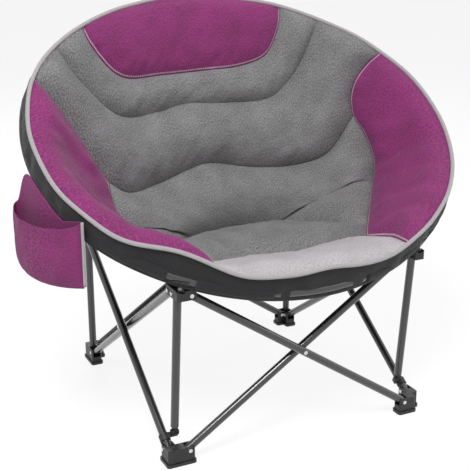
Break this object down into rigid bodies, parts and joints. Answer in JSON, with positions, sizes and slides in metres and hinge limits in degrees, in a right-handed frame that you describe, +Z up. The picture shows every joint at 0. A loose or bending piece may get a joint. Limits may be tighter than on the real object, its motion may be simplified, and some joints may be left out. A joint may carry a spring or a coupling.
{
  "type": "folding saucer chair",
  "caption": "Padded bowl seat on a tilted oval ring of tube arcs, carried by crossed tube legs that fold together with corner posts, sliding hubs and collars.",
  "frame": {"origin": "on the floor, under the centre of the seat ring", "axes": "+Z up, the sitter faces -Y, +X to the right when seen from the front"},
  "size_m": [1.0214, 0.7108, 0.8981],
  "materials": {
    "frame_tube": "gloss powder coat",
    "plastic_black": "moulded, fine grain",
    "pin_steel": "plated rivets",
    "fabric_black": "plain polyester",
    "fabric_purple": "heather polyester",
    "fabric_grey": "heather polyester",
    "fabric_light": "light polyester"
  },
  "bodies": {
    "foot_front_left": {"foot_front_left": "plastic_black", "foot_front_left_pins": "pin_steel"},
    "front_inner_leg": {"front_cross_inner": "frame_tube", "front_cross_rivet": "pin_steel"},
    "front_outer_leg": {"front_cross_outer": "frame_tube"},
    "foot_front_right": {"foot_front_right": "plastic_black", "foot_front_right_pins": "pin_steel"},
    "hub_front_left": {"hub_front_left": "plastic_black", "hub_front_left_pins": "pin_steel"},
    "hub_front_right": {"hub_front_right": "plastic_black", "hub_front_right_pins": "pin_steel"},
    "rear_outer_leg": {"rear_cross_outer": "frame_tube"},
    "rear_inner_leg": {"rear_cross_inner": "frame_tube", "rear_cross_rivet": "pin_steel"},
    "left_outer_leg": {"left_cross_outer": "frame_tube"},
    "left_inner_leg": {"left_cross_inner": "frame_tube", "left_cross_rivet": "pin_steel"},
    "foot_rear_left": {"foot_rear_left": "plastic_black", "foot_rear_left_pins": "pin_steel", "rear_upright_left": "frame_tube", "rear_upright_left_cap": "plastic_black"},
    "hub_rear_left": {"hub_rear_left": "plastic_black", "hub_rear_left_pins": "pin_steel"},
    "front_post_left": {"front_post_left": "frame_tube", "front_post_left_plug": "plastic_black"},
    "slide_collar_left": {"slide_collar_left": "plastic_black"},
    "front_arc_left": {"front_arc_left": "frame_tube", "front_arc_fittings_left": "plastic_black", "front_sleeve_left": "fabric_black"},
    "rear_arc_left": {"rear_arc_left": "frame_tube", "rear_arc_fittings_left": "plastic_black", "rear_sleeve_left": "fabric_black"},
    "right_outer_leg": {"right_cross_outer": "frame_tube"},
    "right_inner_leg": {"right_cross_inner": "frame_tube", "right_cross_rivet": "pin_steel"},
    "foot_rear_right": {"foot_rear_right": "plastic_black", "foot_rear_right_pins": "pin_steel", "rear_upright_right": "frame_tube", "rear_upright_right_cap": "plastic_black"},
    "hub_rear_right": {"hub_rear_right": "plastic_black", "hub_rear_right_pins": "pin_steel"},
    "front_post_right": {"front_post_right": "frame_tube", "front_post_right_plug": "plastic_black"},
    "slide_collar_right": {"slide_collar_right": "plastic_black"},
    "front_arc_right": {"front_arc_right": "frame_tube", "front_arc_fittings_right": "plastic_black", "front_sleeve_right": "fabric_black"},
    "rear_arc_right": {"rear_arc_right": "frame_tube", "rear_arc_fittings_right": "plastic_black", "rear_sleeve_right": "fabric_black"},
    "front_link": {"front_link": "frame_tube", "front_link_plugs": "plastic_black", "seat_shell_left": "fabric_black", "seat_shell_right": "fabric_black", "seat_cushion": "fabric_grey", "back_cushion": "fabric_grey", "head_panel": "fabric_purple", "front_lip": "fabric_light", "side_wings": "fabric_purple"}
  },
  "joints": [
    {"name": "fold", "type": "hinge", "parent": "foot_front_left", "child": "front_inner_leg", "pos_m": [-0.268, -0.257, 0.03], "axis": [0, -1, 0], "range_deg": [0, 33.25], "deforming": ["seat_shell_left", "seat_shell_right", "seat_cushion", "back_cushion", "head_panel", "front_lip", "side_wings"]},
    {"name": "front_crossing", "type": "hinge", "parent": "front_inner_leg", "child": "front_outer_leg", "pos_m": [0, -0.2663, 0.209], "axis": [0, 1, 0], "range_deg": [-0.5, 66.99]},
    {"name": "foot_front_right_hinge", "type": "hinge", "parent": "front_outer_leg", "child": "foot_front_right", "pos_m": [0.268, -0.2756, 0.03], "axis": [0, -1, 0], "range_deg": [-0.5, 33.75]},
    {"name": "hub_front_left_hinge", "type": "hinge", "parent": "front_outer_leg", "child": "hub_front_left", "pos_m": [-0.268, -0.2756, 0.388], "axis": [0, -1, 0], "range_deg": [-0.5, 33.75]},
    {"name": "hub_front_right_hinge", "type": "hinge", "parent": "front_inner_leg", "child": "hub_front_right", "pos_m": [0.268, -0.257, 0.388], "axis": [0, 1, 0], "range_deg": [-0.5, 33.75]},
    {"name": "left_outer_leg_hinge", "type": "hinge", "parent": "foot_front_left", "child": "left_outer_leg", "pos_m": [-0.3056, -0.238, 0.03], "axis": [1, 0, 0], "range_deg": [-0.5, 33.75]},
    {"name": "left_crossing", "type": "hinge", "parent": "left_outer_leg", "child": "left_inner_leg", "pos_m": [-0.2963, 0.03, 0.209], "axis": [-1, 0, 0], "range_deg": [-0.5, 66.99]},
    {"name": "foot_rear_left_hinge", "type": "hinge", "parent": "left_inner_leg", "child": "foot_rear_left", "pos_m": [-0.287, 0.298, 0.03], "axis": [1, 0, 0], "range_deg": [-0.5, 33.75]},
    {"name": "hub_rear_left_hinge", "type": "hinge", "parent": "left_outer_leg", "child": "hub_rear_left", "pos_m": [-0.3056, 0.298, 0.388], "axis": [-1, 0, 0], "range_deg": [-0.5, 33.75]},
    {"name": "right_outer_leg_hinge", "type": "hinge", "parent": "foot_front_right", "child": "right_outer_leg", "pos_m": [0.3056, -0.238, 0.03], "axis": [1, 0, 0], "range_deg": [-0.5, 33.75]},
    {"name": "right_crossing", "type": "hinge", "parent": "right_outer_leg", "child": "right_inner_leg", "pos_m": [0.2963, 0.03, 0.209], "axis": [-1, 0, 0], "range_deg": [-0.5, 66.99]},
    {"name": "foot_rear_right_hinge", "type": "hinge", "parent": "right_inner_leg", "child": "foot_rear_right", "pos_m": [0.287, 0.298, 0.03], "axis": [1, 0, 0], "range_deg": [-0.5, 33.75]},
    {"name": "hub_rear_right_hinge", "type": "hinge", "parent": "right_outer_leg", "child": "hub_rear_right", "pos_m": [0.3056, 0.298, 0.388], "axis": [-1, 0, 0], "range_deg": [-0.5, 33.75]},
    {"name": "rear_outer_leg_hinge", "type": "hinge", "parent": "foot_rear_left", "child": "rear_outer_leg", "pos_m": [-0.268, 0.3356, 0.03], "axis": [0, -1, 0], "range_deg": [-0.5, 33.75]},
    {"name": "rear_crossing", "type": "hinge", "parent": "rear_outer_leg", "child": "rear_inner_leg", "pos_m": [0, 0.3263, 0.209], "axis": [0, 1, 0], "range_deg": [-0.5, 66.99]},
    {"name": "front_post_left_hinge", "type": "hinge", "parent": "hub_front_left", "child": "front_post_left", "pos_m": [-0.287, -0.259, 0.388], "axis": [1, 0, 0], "range_deg": [-0.5, 16.88]},
    {"name": "collar_left_slide", "type": "slide", "parent": "left_outer_leg", "child": "slide_collar_left", "axis": [0, 0.8316, 0.5554], "range_m": [-0.001, 0.28028]},
    {"name": "front_arc_left_hinge", "type": "hinge", "parent": "hub_front_left", "child": "front_arc_left", "pos_m": [-0.287, -0.28, 0.402], "axis": [0.6681, 0.346, -0.6588], "range_deg": [-0.5, 83.4]},
    {"name": "rear_arc_left_hinge", "type": "hinge", "parent": "foot_rear_left", "child": "rear_arc_left", "pos_m": [-0.287, 0.309, 0.8417], "axis": [-0.6081, 0.5737, 0.5487], "range_deg": [-0.5, 85.8]},
    {"name": "front_post_right_hinge", "type": "hinge", "parent": "hub_front_right", "child": "front_post_right", "pos_m": [0.287, -0.259, 0.388], "axis": [1, 0, 0], "range_deg": [-0.5, 16.88]},
    {"name": "collar_right_slide", "type": "slide", "parent": "right_outer_leg", "child": "slide_collar_right", "axis": [0, 0.8316, 0.5554], "range_m": [-0.001, 0.28028]},
    {"name": "front_arc_right_hinge", "type": "hinge", "parent": "hub_front_right", "child": "front_arc_right", "pos_m": [0.287, -0.28, 0.402], "axis": [0.6681, -0.346, 0.6588], "range_deg": [-0.5, 83.4]},
    {"name": "rear_arc_right_hinge", "type": "hinge", "parent": "foot_rear_right", "child": "rear_arc_right", "pos_m": [0.287, 0.309, 0.8417], "axis": [-0.6081, -0.5737, -0.5487], "range_deg": [-0.5, 85.8]},
    {"name": "front_link_hinge", "type": "hinge", "parent": "front_arc_left", "child": "front_link", "pos_m": [-0.088, -0.34045, 0.382], "axis": [-0.6681, -0.346, 0.6588], "range_deg": [-0.5, 83.4]}
  ],
  "couplings": [
    {"joint": "front_crossing", "follows": "fold", "ratio": 2},
    {"joint": "foot_front_right_hinge", "follows": "fold", "ratio": 1},
    {"joint": "hub_front_left_hinge", "follows": "fold", "ratio": 1},
    {"joint": "hub_front_right_hinge", "follows": "fold", "ratio": 1},
    {"joint": "left_outer_leg_hinge", "follows": "fold", "ratio": 1},
    {"joint": "left_crossing", "follows": "fold", "ratio": 2},
    {"joint": "foot_rear_left_hinge", "follows": "fold", "ratio": 1},
    {"joint": "hub_rear_left_hinge", "follows": "fold", "ratio": 1},
    {"joint": "right_outer_leg_hinge", "follows": "fold", "ratio": 1},
    {"joint": "right_crossing", "follows": "fold", "ratio": 2},
    {"joint": "foot_rear_right_hinge", "follows": "fold", "ratio": 1},
    {"joint": "hub_rear_right_hinge", "follows": "fold", "ratio": 1},
    {"joint": "rear_outer_leg_hinge", "follows": "fold", "ratio": 1},
    {"joint": "rear_crossing", "follows": "fold", "ratio": 2},
    {"joint": "front_post_left_hinge", "follows": "fold", "ratio": 0.49278},
    {"joint": "collar_left_slide", "follows": "fold", "m_per_rad": 0.4813},
    {"joint": "front_arc_left_hinge", "follows": "fold", "ratio": 2.4935},
    {"joint": "rear_arc_left_hinge", "follows": "fold", "ratio": 2.5657},
    {"joint": "front_post_right_hinge", "follows": "fold", "ratio": 0.49278},
    {"joint": "collar_right_slide", "follows": "fold", "m_per_rad": 0.4813},
    {"joint": "front_arc_right_hinge", "follows": "fold", "ratio": 2.4935},
    {"joint": "rear_arc_right_hinge", "follows": "fold", "ratio": 2.5657},
    {"joint": "front_link_hinge", "follows": "fold", "ratio": 2.4935}
  ]
}
